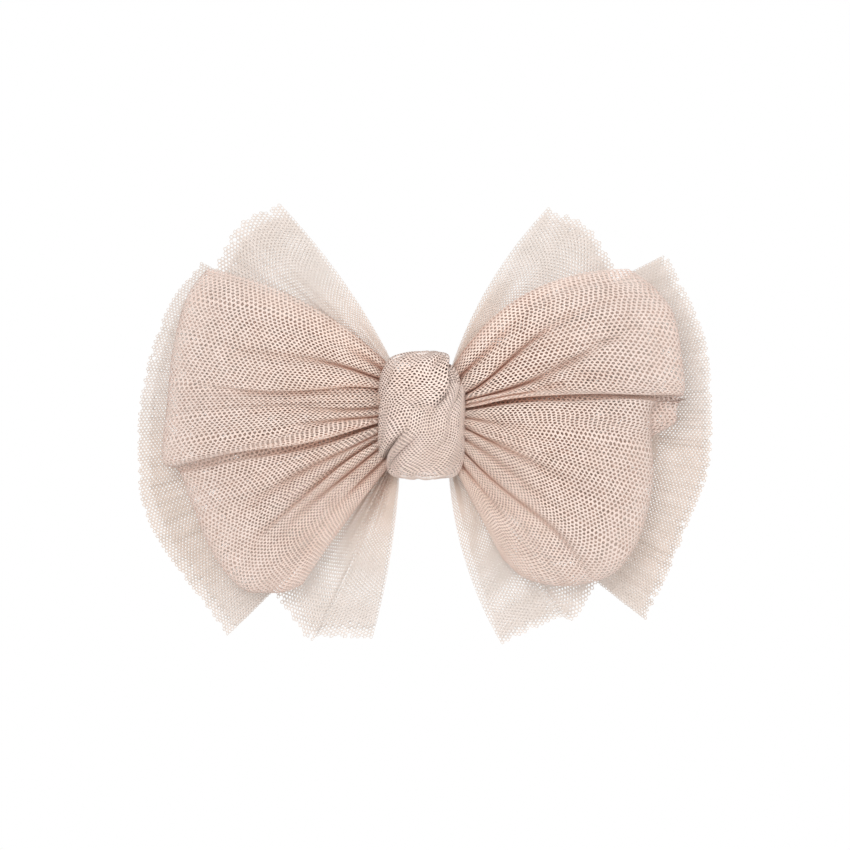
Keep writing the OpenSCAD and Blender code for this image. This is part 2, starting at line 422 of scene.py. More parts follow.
def yarn_material(name, dark, light, through, reach, deepest_shade, open_at, tint=None):
    """Soft matt nylon yarn that lets some light through. Painted shade darkens it where other yarn
    comes within reach, from the deepest_shade tint to none at open_at, and it can be tinted by
    where on the bow it is."""
    material, tree, shader = new_material(name)
    colour = ramp(tree, noise(tree, 260), [(0.3, dark), (0.7, light)])
    # painted shade: the colour is darkened where the yarn is shut in by other layers or down in a
    # fold
    colour = tinted(tree, colour, openness(tree, reach), [(0.1, deepest_shade), (open_at, (1, 1, 1))])
    if tint:
        colour = tint(tree, colour)
    tree.links.new(colour, shader.inputs["Base Color"])
    roughness(tree, shader, noise(tree, 3000, 2), 0.5, 0.8)
    shader.inputs["Sheen Weight"].default_value = 0.2
    shader.inputs["Sheen Roughness"].default_value = 0.4
    shader.inputs["Specular IOR Level"].default_value = 0.3
    bump(tree, shader, noise(tree, 9000, 2), 0.4, 0.00005)
    clear = tree.nodes.new("ShaderNodeBsdfTranslucent")
    tree.links.new(colour, clear.inputs["Color"])
    mix = node(tree, "ShaderNodeMixShader", Fac=through)
    tree.links.new(shader.outputs[0], mix.inputs[1])
    tree.links.new(clear.outputs[0], mix.inputs[2])
    tree.links.new(mix.outputs[0], tree.nodes["Material Output"].inputs["Surface"])
    return material


def metal_material(name, colour, low, high, grain):
    """Plated or drawn steel with fine scratches along X. Its roughness is between low and
    high."""
    material, tree, shader = new_material(name)
    shader.inputs["Metallic"].default_value = 1.0
    place = tree.nodes.new("ShaderNodeTexCoord")
    stretch = node(tree, "ShaderNodeMapping", Scale=(1, 12, 12))
    tree.links.new(place.outputs["Object"], stretch.inputs["Vector"])
    scratch = node(tree, "ShaderNodeTexNoise", Scale=grain, Detail=4)
    tree.links.new(stretch.outputs["Vector"], scratch.inputs["Vector"])
    dull = tuple(c * 0.82 for c in colour)
    stops = [(0.35, dull), (0.65, colour)]
    tree.links.new(ramp(tree, scratch.outputs["Fac"], stops), shader.inputs["Base Color"])
    roughness(tree, shader, noise(tree, 500), low, high)
    bump(tree, shader, scratch.outputs["Fac"], 0.25, 0.00003)
    return material


def soft_material(name, dark, light, rough, scale, height):
    """Cloth, rubber or glue, with a fine uneven surface."""
    material, tree, shader = new_material(name)
    stops = [(0.35, dark), (0.65, light)]
    tree.links.new(ramp(tree, noise(tree, scale), stops), shader.inputs["Base Color"])
    roughness(tree, shader, noise(tree, scale * 2), rough - 0.08, rough + 0.08)
    bump(tree, shader, noise(tree, scale * 4), 0.5, height)
    return material


# deepest_shade is each yarn's painted shade in its folds and between its layers; the knot's is
# darkest
LOOP_YARN = yarn_material(
    "loop_yarn", srgb(246, 224, 210), srgb(253, 234, 222), through=0.3, reach=0.0017,
    deepest_shade=(0.72, 0.55, 0.48), open_at=0.42, tint=behind_the_loops,
)
TAIL_YARN = yarn_material(
    "tail_yarn", srgb(218, 209, 202), srgb(226, 217, 211), through=0.35, reach=0.0015,
    deepest_shade=(0.84, 0.72, 0.66), open_at=0.4, tint=warm_tails,
)
KNOT_YARN = yarn_material(
    "knot_yarn", srgb(234, 212, 200), srgb(242, 223, 213), through=0.15, reach=0.002,
    deepest_shade=(0.20, 0.13, 0.10), open_at=0.7,
)
# painted shade: the cloth inside the knot is darker than the yarn, as the shade under the bands
KNOT_CLOTH_IN_SHADE = soft_material(
    "knot_core_shaded_cloth", srgb(150, 122, 108), srgb(168, 138, 124), rough=0.85, scale=900,
    height=0.0001,
)
THREAD_FIBRE = soft_material(
    "thread_fibre", srgb(214, 190, 176), srgb(230, 208, 195), rough=0.6, scale=2500, height=0.00005
)
RIBBON_CLOTH = soft_material(
    "ribbon_cloth", srgb(222, 199, 186), srgb(233, 213, 201), rough=0.7, scale=2500, height=0.00005
)
RUBBER = soft_material(
    "grip_rubber", srgb(222, 214, 206), srgb(234, 228, 221), rough=0.75, scale=1500, height=0.00004
)
GLUE = soft_material(
    "glue", srgb(226, 214, 190), srgb(240, 232, 212), rough=0.35, scale=400, height=0.0001
)
NICKEL = metal_material("nickel_plate", srgb(214, 214, 216), low=0.16, high=0.3, grain=500)
DRAWN_STEEL = metal_material("drawn_steel", srgb(186, 187, 190), low=0.25, high=0.42, grain=900)

# ---------------------------------------------------------------- the plan of a fan

ACROSS = 640  # grid points across a sheet
ALONG = 150  # grid points from the knot to a wing's outer edge


class Fan:
    """One wing seen from the front, as [x, z]. q runs across it from top to bottom and u
    from the gathered root to the outer edge."""

    def __init__(self, root, edge, bow):
        self.root, self.edge, self.bow = root, edge, bow
        self.side = np.sign(edge[0][0])

    def place(self, u, q):
        """Paths from the root to the edge. The outermost ones bow outwards."""
        start, end = along(self.root, q), along(self.edge, q)
        out = end - start
        normal = np.stack([-out[..., 1], out[..., 0]], -1) * self.side
        top, bottom = self.bow
        bow = np.interp(q, [0, 0.3, 0.7, 1], [top, 0.3 * top, -0.3 * bottom, -bottom])
        middle = start + 0.5 * out + normal * bow[..., None]
        u = np.asarray(u)[..., None]
        return (1 - u) ** 2 * start + 2 * u * (1 - u) * middle + u * u * end

    def width(self, u):
        """Width of the wing at each u, measured across the plan."""
        q = np.linspace(0, 1, 200)
        place = self.place(*np.meshgrid(u, q, indexing="ij"))
        return np.linalg.norm(np.diff(place, axis=1), axis=2).sum(axis=1)


# ---------------------------------------------------------------- tails


REACH = 60  # roughly how far the tails reach from the middle
EDGE_OUT = 0.9  # the back sheet of each pair reaches this far past the points of its cut end


def hill(x, z):
    """The slow waves that all the tail sheets share, so that they nest."""
    angle, radius = np.arctan2(z, np.abs(x)), np.hypot(x, z)
    wave = 0.6 * np.sin(5 * angle + 0.6) + 0.45 * np.sin(11 * angle + 2.1 + 0.8 * np.sign(x))
    return wave * smooth(radius / REACH) * 1.2


def polar(points):
    """[reach, angle] points as [x, z]."""
    p = np.array(points, float)
    angle = np.radians(p[:, 1])
    return np.stack([p[:, 0] * np.cos(angle), p[:, 0] * np.sin(angle)], 1)


def tail_wing(name, layer, fan, width, mesh_kind, pleats, crinkle, curl, waves, seed):
    """One wing of a gathered sheet, from the middle of the knot to its cut end. crinkle is the
    strength of its pleats, curl how far back it bends at a tail's full reach, and waves the
    height of the rumples towards its edge."""
    u = (1 - np.linspace(1, 0, ALONG) ** 1.3)[:, None]
    q = np.linspace(0, 1, ACROSS)[None]
    u, q = np.broadcast_arrays(u, q)
    plan = fan.place(u, q)
    squeeze = fan.width(u[:, 0]) / width
    slack = np.sqrt(np.clip(1 - squeeze**2, 0.03, 1))[:, None]
    wander = 0.3 * np.sin(2 * np.pi * (3 * q + 0.17 * seed))
    wander = wander + 0.2 * np.sin(2 * np.pi * (7 * q + 0.34 * seed))
    strength = crinkle + 0.35 * np.sin(2 * np.pi * (2.3 * q + 0.29 * seed))
    strength = strength * smooth(q * 6) * smooth((1 - q) * 6) * (1 + 1.6 * smooth(1.25 - 2 * u))
    pleat = np.sin(2 * np.pi * (pleats * q + wander)) * strength * slack
    y = -depth_of(layer) + hill(plan[..., 0], plan[..., 1])
    y = y + curl * (plan**2).sum(axis=2) / REACH**2 + pleat * width / pleats / (2 * np.pi)
    rumple = np.sin(2 * np.pi * (14 * q + 1.2 * np.sin(5 * q + seed)) + 1.5 * u)
    y = y + waves * rumple * smooth(2.5 * u - 1.2)
    wing = np.stack([plan[..., 0], y, plan[..., 1]], -1)
    waist = wing[0] * np.array([[[0.0, 1, 1]], [[0.5, 1, 1]]])
    points = even(np.vstack([waist, wing]), ALONG)
    sheet_of_net(
        name, Surface(points, width), TAIL_YARN, mesh_kind, layer, "tail_tulle", "gathered",
        ["waist_thread_turns"], seed, worn_end=True,
    )


TAIL_A_WIDTH, TAIL_B_WIDTH = 126, 96  # flat width of cloth gathered into a wing
WAIST_END = 5.2  # where the sheets leave the knot's narrow wrap
EDGE_STEP = 2.0  # the front sheet of each pair is cut this much shorter


def tail_pair(layer, width, mesh_kind, pleats, crinkle, curl, waves, ends, bows, seed):
    """The back and front sheets of a pair, each with a left and a right wing. The ends are
    their cut edges, as [reach, angle] points."""
    for step, which in enumerate(("back", "front")):
        for k, side in enumerate(("left", "right")):
            end = np.array(ends[k], float)
            end[:, 0] += EDGE_OUT - EDGE_STEP * step
            waist = WAIST_HALF - 0.4
            x = WAIST_END * (2 * k - 1)
            root = [(x, waist), (x, 0), (x, -waist)]
            fan = Fan(root, polar(end), bows[which][k])
            tail_wing(
                f"{layer}_{which}_{side}_net", f"{layer}_{which}", fan, width, mesh_kind,
                pleats, crinkle, curl, waves, seed + 2 * step + k,
            )


def tails():
    tail_pair(
        "tail_b", TAIL_B_WIDTH, TAIL_MESH, pleats=30, crinkle=0.6, curl=1.5, waves=0.42,
        ends=(
            [(59.3, 145.5), (61, 157), (62, 172), (63.2, 186), (64.8, 202), (65, 228.5)],
            [(64.3, 33.6), (64.4, 16), (63.6, 0), (64, -11), (63, -21), (63.9, -31), (66.8, -42.9)],
        ),
        bows={"back": [(0.03, 0.03), (0.03, 0.03)], "front": [(0.02, 0.02), (0.02, 0.02)]},
        seed=1,
    )
    tail_pair(
        "tail_a", TAIL_A_WIDTH, INNER_TAIL_MESH, pleats=38, crinkle=0.45, curl=0.4, waves=0.0,
        ends=(
            [(56, 124.3), (57.3, 139), (54, 180), (53.5, 238), (53.3, 245), (50, 257)],
            [(53.4, 59), (54.3, 43.7), (53, 0), (54.6, -49), (53.4, -57), (53.4, -71.2)],
        ),
        bows={"back": [(0.08, 0.06), (0.12, 0.13)], "front": [(0.05, 0.02), (0.08, 0.05)]},
        seed=5,
    )


# ---------------------------------------------------------------- loops

LOOP_WIDTH = 108  # flat width of cloth gathered into a loop
PUFF = 0.2  # how far the cloth between two creases bulges, as a share of its width


class Crease:
    """A fold where the cloth dives in and comes back. Its place across the fan and its opening
    are given at the knot, half-way and at the outer edge, and its depth also at a point near
    the knot. A lean makes it dive in under the cloth above it. A crease with a floor is open
    enough to show a strip of the cloth inside it."""

    def __init__(self, place, depth, opening=(0.6, 0.8, 0.8), lean=0.0, floor=False):
        self.place, self.depth, self.opening = place, depth, opening
        self.lean, self.floor = lean, floor

    def corners(self, place, depth, gap, width):
        """Its corners as lengths of flat cloth, places across the fan and depths."""
        top, bottom = place - gap / 2, place + gap / 2
        inside = self.lean * depth / width
        if not self.floor:
            return [0, depth, 2 * depth], [top, place + inside, bottom], [0, depth, 0]
        rise = 0.8 * depth
        far = max(gap - inside, 0) * width + depth
        lengths = [0, depth, far, far + rise]
        return lengths, [top, top + inside, bottom, bottom], [0, depth, rise, 0]


def blur(values, sigma, odd):
    """Rounds off corners along the last axis. With odd, the ends stay where they are."""
    reach = int(3 * sigma)
    kernel = np.exp(-0.5 * (np.arange(-reach, reach + 1) / sigma) ** 2)
    kernel /= kernel.sum()
    kind = {"mode": "reflect", "reflect_type": "odd"} if odd else {"mode": "edge"}
    padded = np.pad(values, ((0, 0), (reach, reach)), **kind)
    return np.array([np.convolve(row, kernel, "valid") for row in padded])


def folded_profile(u, plan_width, creases):
    """For each row u: where each point of the flat cut comes across the fan, and how far it
    is pushed in. The creases take up most of the spare width near the knot."""
    rounding = 0.5
    place = np.array([three(u, crease.place) for crease in creases])
    place += 0.009 * np.sin(8 * u + 2.3 * np.arange(len(creases))[:, None]) * smooth(4 * u)
    depth = np.array([np.interp(u, [0, 0.15, 0.5, 1], crease.depth) for crease in creases]) + 1e-4
    gap = np.array([np.interp(u, [0, 0.5, 1], crease.opening) for crease in creases]) / plan_width
    puff = PUFF * (1 - 0.65 * smooth(u * 1.1))
    t = np.linspace(0, LOOP_WIDTH, ACROSS)
    across, inward = np.empty((len(u), ACROSS)), np.empty((len(u), ACROSS))
    for i in range(len(u)):
        dives = [
            crease.corners(place[k, i], depth[k, i], gap[k, i], plan_width[i])
            for k, crease in enumerate(creases)
        ]
        spare = LOOP_WIDTH - sum(dive[0][-1] for dive in dives)
        tops = np.diff([0, *place[:, i], 1]) * spare
        flat, q, y = [0.0], [0.0], [0.0]
        bulge = np.zeros(ACROSS)
        for top, (lengths, places, depths) in zip(tops, dives):
            bulge += roll_bulge(t, flat[-1], flat[-1] + top, puff[i])
            flat += [flat[-1] + top + length for length in lengths]
            q += places
            y += depths
        bulge += roll_bulge(t, flat[-1], LOOP_WIDTH, puff[i])
        across[i] = np.interp(t, [*flat, LOOP_WIDTH], [*q, 1.0])
        inward[i] = np.interp(t, [*flat, LOOP_WIDTH], [*y, 0.0]) - bulge
    sigma = rounding / LOOP_WIDTH * ACROSS
    return blur(across, sigma, odd=True), blur(inward, sigma, odd=False)


def roll_bulge(t, begin, end, puff):
    """The rounded top of the cloth between two creases."""
    highest = 2.6
    f = np.clip((t - begin) / max(end - begin, 1e-6), 0, 1)
    return min(puff * (end - begin), highest) * np.sin(np.pi * f) ** 0.8


def unevenness(plan, seed):
    """Soft dents that no two parts of the cloth share."""
    x, z = plan[..., 0] / 3.2 + seed, plan[..., 1] / 2.6
    dents = np.sin(x + 0.8 * np.sin(z * 0.7)) * np.sin(z + 0.9 * np.sin(x * 0.6))
    return 0.5 * dents + 0.35 * np.sin(0.53 * x - 0.61 * z + seed) * np.sin(0.31 * x + 0.7 * z)


def ripples(q, seed):
    """Fine lines along the rows of the net, where the cloth was crinkled."""
    wander = 0.5 * np.sin(2 * np.pi * (2.2 * q + 0.3 * seed))
    wander = wander + 0.3 * np.sin(2 * np.pi * 7 * q + seed)
    strength = 0.6 + 0.4 * np.sin(2 * np.pi * (3.1 * q + 0.21 * seed))
    return np.sin(2 * np.pi * (23 * q + wander)) * strength


def curl_out(u, q, begin, end, reach):
    """How far the back of the loop stands out past its rim, between two places across it."""
    along_it = smooth((1 - u) / 0.07) * smooth((u - 0.55) / 0.35)
    return reach * along_it * smooth((q - begin) / 0.02) * smooth((end - q) / 0.06)


def loop(name, fan, creases, main, lobes, seed, curled=(0.3, 0.4, 0.0)):
    """Half of the folded strip: out along the front, round the soft fold and back behind.
    main is the crease between the lobes, and lobes how far back each of them lies. The back can
    be curled out past the rim in one place: curled says where across the fan the curl begins
    and ends, and how far it reaches."""
    ripple, back_ripple, dent = 0.32, 0.55, 0.45
    top_at, top_depth = [0, 0.12, 0.35, 0.6, 1], [14.2, 16.2, 18.3, 18.9, 18.9]
    u = 1 - np.linspace(1, 0, ALONG) ** 2
    q, inward = folded_profile(u, fan.width(u), creases)
    row = u[:, None]
    flat = np.broadcast_to(np.linspace(0, 1, ACROSS)[None], q.shape)
    waves = ripples(flat, seed) * ripple
    lower = smooth((q - three(row, creases[main].place)) * fan.width(u)[:, None] / 2 + 0.5)
    back_by = (lobes[0] * (1 - lower) + lobes[1] * lower) * smooth(row * 3)
    pinch = 0.62 + 0.38 * np.sqrt(np.sin(np.pi * np.clip(q, 0, 1)))
    top = np.interp(row, top_at, top_depth) - back_by
    back, fold = LOOP_BACK + 0.5, LOOP_BACK + 4.2
    top = back + (top - back) * pinch
    ease = np.sqrt(np.clip(1 - row**7, 0, 1))
    settle = 0.35 + 0.65 * ease
    plan = fan.place(np.broadcast_to(row, q.shape), q)
    dents = unevenness(plan, seed) * dent * ease
    front = -(fold + (top - fold) * ease) + inward * settle + waves + dents
    joined = smooth((row - 0.7) / 0.3)
    q_back = q * joined + flat * (1 - joined)
    behind = -(fold + (back - fold) * ease) + (inward * settle + waves) * joined
    behind = behind + back_ripple * ripples(flat, seed + 3) * (1 - joined)
    behind = np.minimum(behind, -LOOP_BACK - 0.1)
    front = np.minimum(front, -LOOP_BACK - 0.6)
    plan_back = fan.place(np.broadcast_to(row, q.shape), q_back)
    plan_back[..., 0] += fan.side * curl_out(row, q_back, *curled)
    outward = np.stack([plan[..., 0], front, plan[..., 1]], -1)
    inwards = np.stack([plan_back[..., 0], behind, plan_back[..., 1]], -1)[::-1][1:]
    points = even(np.vstack([outward, inwards]), 2 * ALONG)
    sheet_of_net(
        name, Surface(points, LOOP_WIDTH), LOOP_YARN, LOOP_MESH, "loop_strip", "loop_tulle",
        "folded", ["waist_thread_turns"], seed,
    )


def loop_root(side):
    """Where a loop comes out of the knot, from top to bottom."""
    x, z = 5.5 * side, WAIST_HALF - 0.4
    return [(0.9 * x, z), (x, z / 2), (x, 0), (x, -z / 2), (0.9 * x, -z)]


def loops():
    left = Fan(
        loop_root(-1),
        [(-47.5, 32.2), (-52, 26), (-55, 15), (-56.3, 3.3), (-57.4, -9.6), (-53.9, -12.2),
         (-51.5, -18), (-48, -27), (-44, -34), (-39.5, -38.4), (-35, -39),
         (-30.5, -38.8), (-26.5, -37)],
        (0.17, -0.03),
    )
    loop(
        "loop_left_net", left,
        [
            Crease((0.07, 0.08, 0.08), (1.4, 1.2, 0.3, 0)),
            Crease((0.14, 0.20, 0.18), (4.4, 3.6, 1.4, 0.2), (0.3, 1.6, 1.2)),
            Crease((0.22, 0.325, 0.29), (4.6, 4.0, 2.6, 0), (0.3, 1.6, 1.2), lean=-0.4),
            Crease((0.40, 0.395, 0.37), (0.8, 1.6, 1.2, 0.2), (0.3, 1.6, 1.2)),
            Crease((0.49, 0.46, 0.44), (4.4, 2.4, 0.3, 0), (0.3, 1.0, 1.0)),
            Crease(
                (0.56, 0.56, 0.512), (4.6, 4.6, 4.6, 3.2), (0.3, 1.4, 2.4), lean=-0.3, floor=True
            ),
            Crease((0.62, 0.67, 0.65), (0.4, 1.8, 1.8, 0), (0.3, 1.4, 1.0)),
            Crease((0.68, 0.735, 0.81), (3.2, 4.0, 2.2, 0.2), (0.3, 1.6, 1.2), lean=0.3),
            Crease((0.77, 0.80, 0.89), (2.0, 3.2, 1.4, 0.2), (0.3, 1.4, 1.0)),
            Crease((0.89, 0.90, 0.95), (1.2, 1.6, 0.6, 0), (0.3, 1.4, 1.0)),
        ],
        main=5, lobes=(0.0, 1.3), seed=11,
    )
    right = Fan(
        loop_root(1),
        [(45, 32.0), (50.3, 28.2), (54.6, 22.5), (56.4, 14), (56.8, 4.2), (50.2, 2.2),
         (49.9, -6), (50.2, -14), (48, -25), (44, -32.4), (39.5, -35.8), (33, -37.4),
         (27, -37.2), (21.5, -35.4), (17.2, -31.5)],
        (0.3, 0.0),
    )
    loop(
        "loop_right_net", right,
        [
            Crease((0.14, 0.05, 0.04), (2.4, 1.2, 0.3, 0)),
            Crease((0.31, 0.13, 0.09), (4.6, 3.6, 1.5, 0.1), (0.3, 1.4, 1.0)),
            Crease((0.37, 0.235, 0.17), (3.2, 3.6, 2.4, 0.1), (0.3, 1.6, 1.2)),
            Crease((0.41, 0.30, 0.26), (0.6, 1.2, 1.0, 0.1), (0.3, 1.2, 1.0)),
            Crease(
                (0.445, 0.37, 0.343), (4.4, 4.4, 5.0, 5.0), (0.3, 1.5, 5.8), lean=-0.2, floor=True
            ),
            Crease((0.51, 0.49, 0.47), (1.4, 1.6, 0.5, 0), (0.3, 1.4, 1.0)),
            Crease((0.58, 0.63, 0.62), (4.0, 3.4, 1.1, 0.1), (0.3, 1.6, 1.2)),
            Crease((0.69, 0.70, 0.71), (1.2, 1.6, 0.8, 0), (0.3, 1.2, 1.0)),
            Crease((0.80, 0.775, 0.785), (4.6, 4.0, 2.6, 0.8), (0.3, 1.4, 1.0)),
            Crease((0.91, 0.88, 0.88), (2.6, 2.0, 0.8, 0), (0.3, 1.4, 1.0)),
        ],
        main=4, lobes=(1.0, 0.0), seed=12, curled=(0.33, 0.47, 9),
    )


# ---------------------------------------------------------------- knot

KNOT_MIDDLE = np.array([0.0, -12.8, -0.6])
KNOT_HALF = np.array([KNOT_HIGH[0] - 0.3, -KNOT_LOW[1] - 13.9, KNOT_HIGH[2] - 1.0])
KNOT_BACK = 112  # how far round to the back the knot's bands go, in degrees
TOP_BOX, FOOT_BOX, BOX_X = 0.5, 0.36, 0.75  # how boxy the knot is: less is boxier


def power(value, exponent):
    return np.sign(value) * np.abs(value) ** exponent


def boxiness(height):
    return np.where(height < 0, FOOT_BOX, TOP_BOX)


def seen(points):
    """Given [x, z] points on the knot's front, as angles on its rounded form."""
    p = np.array(points, float)
    height = np.clip((p[:, 1] - KNOT_MIDDLE[2]) / KNOT_HALF[2], -1, 1)
    rise = np.arcsin(power(height, 1 / boxiness(height)))
    room = np.maximum(power(np.cos(rise), boxiness(height)), 0.05) * KNOT_HALF[0]
    return np.stack([np.arcsin(power(np.clip(p[:, 0] / room, -1, 1), 1 / BOX_X)), rise], 1)


def knot_point(turn, rise, out):
    """A point on the knot's rounded form, moved out from its middle."""
    flat = power(np.cos(rise), boxiness(rise))
    size = KNOT_HALF + np.asarray(out)[..., None]
    x = size[..., 0] * flat * power(np.sin(turn), BOX_X)
    y = -size[..., 1] * flat * power(np.cos(turn), BOX_X)
    z = size[..., 2] * power(np.sin(rise), boxiness(rise))
    return np.stack([x, y, z], -1) + KNOT_MIDDLE


def knot_band(name, first, second, out, roll, seed, creases=()):
    """One band of the knot between two edges, given as [turn, rise] angles. out is how far it
    stands out from the knot's form, and roll how far its second edge is tucked under. A crease
    runs along the band: where across it, where it starts and ends, and how deep it is. The band
    is two layers of net."""
    count, layer_gap = 160, 0.7
    a = np.linspace(0, 1, count)[:, None]
    b = np.linspace(0, 1, count)[None]
    first, second = curve_through(first, a[:, 0]), curve_through(second, a[:, 0])
    angles = first[:, None] * (1 - b[..., None]) + second[:, None] * b[..., None]
    lift = out + 0.5 * np.sin(np.pi * b) ** 0.6 - roll * smooth((b - 0.88) / 0.12) ** 1.5
    folds = 0.16 * np.sin(2 * np.pi * (4.5 * b + 0.3 * np.sin(3 * a + seed)))
    for place, start, end, depth in creases:
        line = place + 0.05 * np.sin(4 * a + seed)
        fade = smooth((a - start) * 8) * smooth((end - a) * 8)
        folds = folds - depth * fade * np.exp(-(((b - line) / 0.035) ** 2))
    points = even(knot_point(angles[..., 0], angles[..., 1], lift + folds), count)
    points = even(points.transpose(1, 0, 2), count).transpose(1, 0, 2)
    outer = Surface(points)
    facing = np.sign(((points - KNOT_MIDDLE) * outer.normals).sum(axis=2).mean())
    for layer in range(2):
        surface = Surface(points - outer.normals * facing * layer_gap * layer)
        sheet_of_net(
            f"{name}_{layer + 1}", surface, KNOT_YARN, (KNOT_MESH, INNER_KNOT_MESH)[layer],
            "knot_band", "knot_tulle", "stretched", ["knot_core"], seed + 7 * layer,
        )


def knot_core():
    """The folded cloth inside the knot, an open shell under the bands, dark with painted shade."""
    count, inset = 90, 1.5
    turns = np.radians(np.linspace(-KNOT_BACK, KNOT_BACK, count))
    turn, rise = np.meshgrid(turns, np.radians(np.linspace(-89, 89, count)))
    core = knot_point(turn, rise, np.full(turn.shape, -inset))
    faces = grid_faces(count, count)
    piece = mesh_object("knot_core", core.reshape(-1, 3), faces, KNOT_CLOTH_IN_SHADE)
    stand_for(piece, "knot_band")


def knot_wrap():
    """The narrower part of the knot's strip, round the sheets and the clip's arm."""
    low, high = box("clip_upper_arm")
    front, beside, back = 13.0, 3.6, -KNOT_HIGH[1]
    top, clear = KNOT_HIGH[2] - 1.6, 1.2
    side = [
        (front, top), (beside, top - 1), (back, high[2] + clear),
        (back, low[2] - clear), (beside, 1 - top), (front, -top),
    ]
    path = along(side, np.linspace(0, 1, 150))
    half_width, layer_gap = 4.7, 0.28
    x = np.linspace(-half_width, half_width, 90)
    for layer in range(2):
        out = -0.1 - layer_gap * layer + 0.12 * np.sin(2 * np.pi * x / 2.1 + layer)
        ahead = np.gradient(path, axis=0)
        normal = np.stack([-ahead[:, 1], ahead[:, 0]], 1)
        normal /= np.linalg.norm(normal, axis=1, keepdims=True)
        place = path[:, None] + normal[:, None] * out[None, :, None]
        across = np.broadcast_to(x[None], place.shape[:2])
        points = np.stack([across, -place[..., 0], place[..., 1]], -1)
        sheet_of_net(
            f"knot_wrap_{layer + 1}", Surface(points), KNOT_YARN, KNOT_MESH, "knot_band",
            "knot_tulle", "stretched", ["clip_upper_arm"], 31 + layer,
        )


def knot():
    back = KNOT_BACK
    over_outer = np.radians([(-50, 86), (-95, 62), (-back, 30), (-back, 10), (-back, -5)])
    over_inner = np.vstack(
        [seen([(4.6, 12.6), (5.6, 10), (5.8, 5.4), (3.6, 1.9), (-1.4, -2.5), (-6.6, -6.4)]),
         np.radians([(-back, -32)])]
    )
    knot_band(
        "knot_over_net", over_outer, over_inner, out=1.15, roll=2.2, seed=21,
        creases=[(0.74, 0.05, 0.6, 0.6), (0.5, 0.35, 0.85, 0.35), (0.2, 0.5, 1.2, 0.5)],
    )
    under_left = np.radians([(-75, -86), (-100, -60), (-100, -38), (-60, -12), (0, 8), (25, 22)])
    under_right = np.radians(
        [(80, -86), (back, -60), (back, -35), (back, -8), (back, 4), (100, 14)]
    )
    knot_band(
        "knot_under_net", under_left, under_right, out=0.1, roll=0.0, seed=22,
        creases=[(0.22, 0.1, 0.9, 0.7), (0.45, 0.5, 1.2, 0.4), (0.75, -0.2, 0.5, 0.4)],
    )
    side_inner = np.radians([(5, 75), (12, 50), (20, 25), (25, 4)])
    side_outer = np.radians([(80, 48), (108, 35), (back, 15), (back, -5)])
    knot_band("knot_side_net", side_inner, side_outer, out=-0.55, roll=0.0, seed=23)
    knot_core()
    knot_wrap()


# ---------------------------------------------------------------- thread, ribbon, glue, grip


def squarish(turn, half, exponent):
    """A rounded rectangle, by angle."""
    return half[0] * power(np.cos(turn), exponent), half[1] * power(np.sin(turn), exponent)


def waist_thread():
    """Thread wound round the gathered sheets."""
    windings, radius = 10, 0.22
    turn = np.linspace(0, 2 * np.pi * windings, 900)
    middle = (THREAD_LOW + THREAD_HIGH) / 2
    half = (THREAD_HIGH - THREAD_LOW)[1:] / 2 - radius - 0.03
    y, z = squarish(turn, half, 0.4)
    x = np.linspace(THREAD_LOW[0] + radius, THREAD_HIGH[0] - radius, len(turn))
    x = x + 0.1 * np.sin(turn * 0.37)
    path = np.stack([x, middle[1] + y, middle[2] + z], 1)
    piece = tube("waist_thread_turns", path, radius, THREAD_FIBRE, around=8)
    stand_for(piece, "waist_thread")


def ribbon_half_width(x):
    """Half width of the ribbon at each x: rounded at the nose, then widening."""
    low, high = box("ribbon_lining")
    nose, taper = 3.0, 29
    from_nose = np.clip((x - low[0]) / nose, 0, 1)
    rounded = nose * np.sqrt(np.clip(1 - (1 - from_nose) ** 2, 0.02, 1))
    widening = nose + (high[2] - nose) * np.clip((x - low[0] - nose) / taper, 0, 1)
    return np.where(from_nose < 1, rounded, widening)


def slab(name, x, half_width, inner, outer, material):
    """A thin closed strip along X between two depths, each given per x."""
    across = np.linspace(-1, 1, 9)
    rings = []
    for k in range(len(x)):
        z = across * half_width[k]
        front = [(x[k], -outer[k], c) for c in z]
        behind = [(x[k], -inner[k], c) for c in z[::-1]]
        rings.append(front + behind)
    return loft(name, rings, material)


def ribbon_lining():
    """Grosgrain ribbon with its cross ribs, stuck to the outside of the upper arm."""
    low, high = box("ribbon_lining")
    rib_height, rib_step, mean_width = 0.04, 0.62, 7.6
    x = np.linspace(low[0], high[0], 560)
    rib = rib_height * np.cos(2 * np.pi * x / rib_step)
    half = ribbon_half_width(x) + rib
    inner, outer = np.full(len(x), -high[1]), -low[1] - rib_height + rib
    piece = slab("grosgrain_ribbon_strip", x, half, inner, outer, RIBBON_CLOTH)
    stand_for(piece, "ribbon_lining")


def grip_pad():
    """The non-slip strip, with ridges across it."""
    low, high = box("grip_pad")
    ridge_height, ridge_step = 0.16, 1.3
    x = np.linspace(low[0], high[0], 300)
    ridge = ridge_height * np.abs(np.sin(np.pi * x / ridge_step))
    half = np.full(len(x), high[2]) - 0.5 * np.maximum(0, 1 - (x - low[0])) ** 2
    half = half - 0.5 * np.maximum(0, 1 - (high[0] - x)) ** 2
    inner, outer = -high[1] + ridge_height - ridge, np.full(len(x), -low[1])
    piece = slab("grip_pad_ridges", x, half, inner, outer, RUBBER)
    stand_for(piece, "grip_pad")


def glue_pad():
    """A squeezed bead of hot-melt glue with an uneven outline."""
    low, high = box("glue_pad")
    middle, half = (low + high) / 2, (high - low) / 2
    around, levels, bulge = 72, 14, 0.1
    turn = np.linspace(0, 2 * np.pi, around, endpoint=False)
    outline = 0.93 + 0.04 * np.sin(3 * turn + 1) + 0.03 * np.sin(7 * turn)
    rings = []
    for level in np.linspace(-1, 1, levels):
        size = max(1 - level**4, 0.0) ** 0.5 * bulge + 1 - bulge
        x, z = squarish(turn, (half[0] * size, half[2] * size), 0.6)
        ring = np.stack([x * outline, np.full(around, level * half[1]), z * outline], 1)
        rings.append(ring + middle)
    piece = loft("glue_bead", rings, GLUE)
    stand_for(piece, "glue_pad")


# ---------------------------------------------------------------- clip


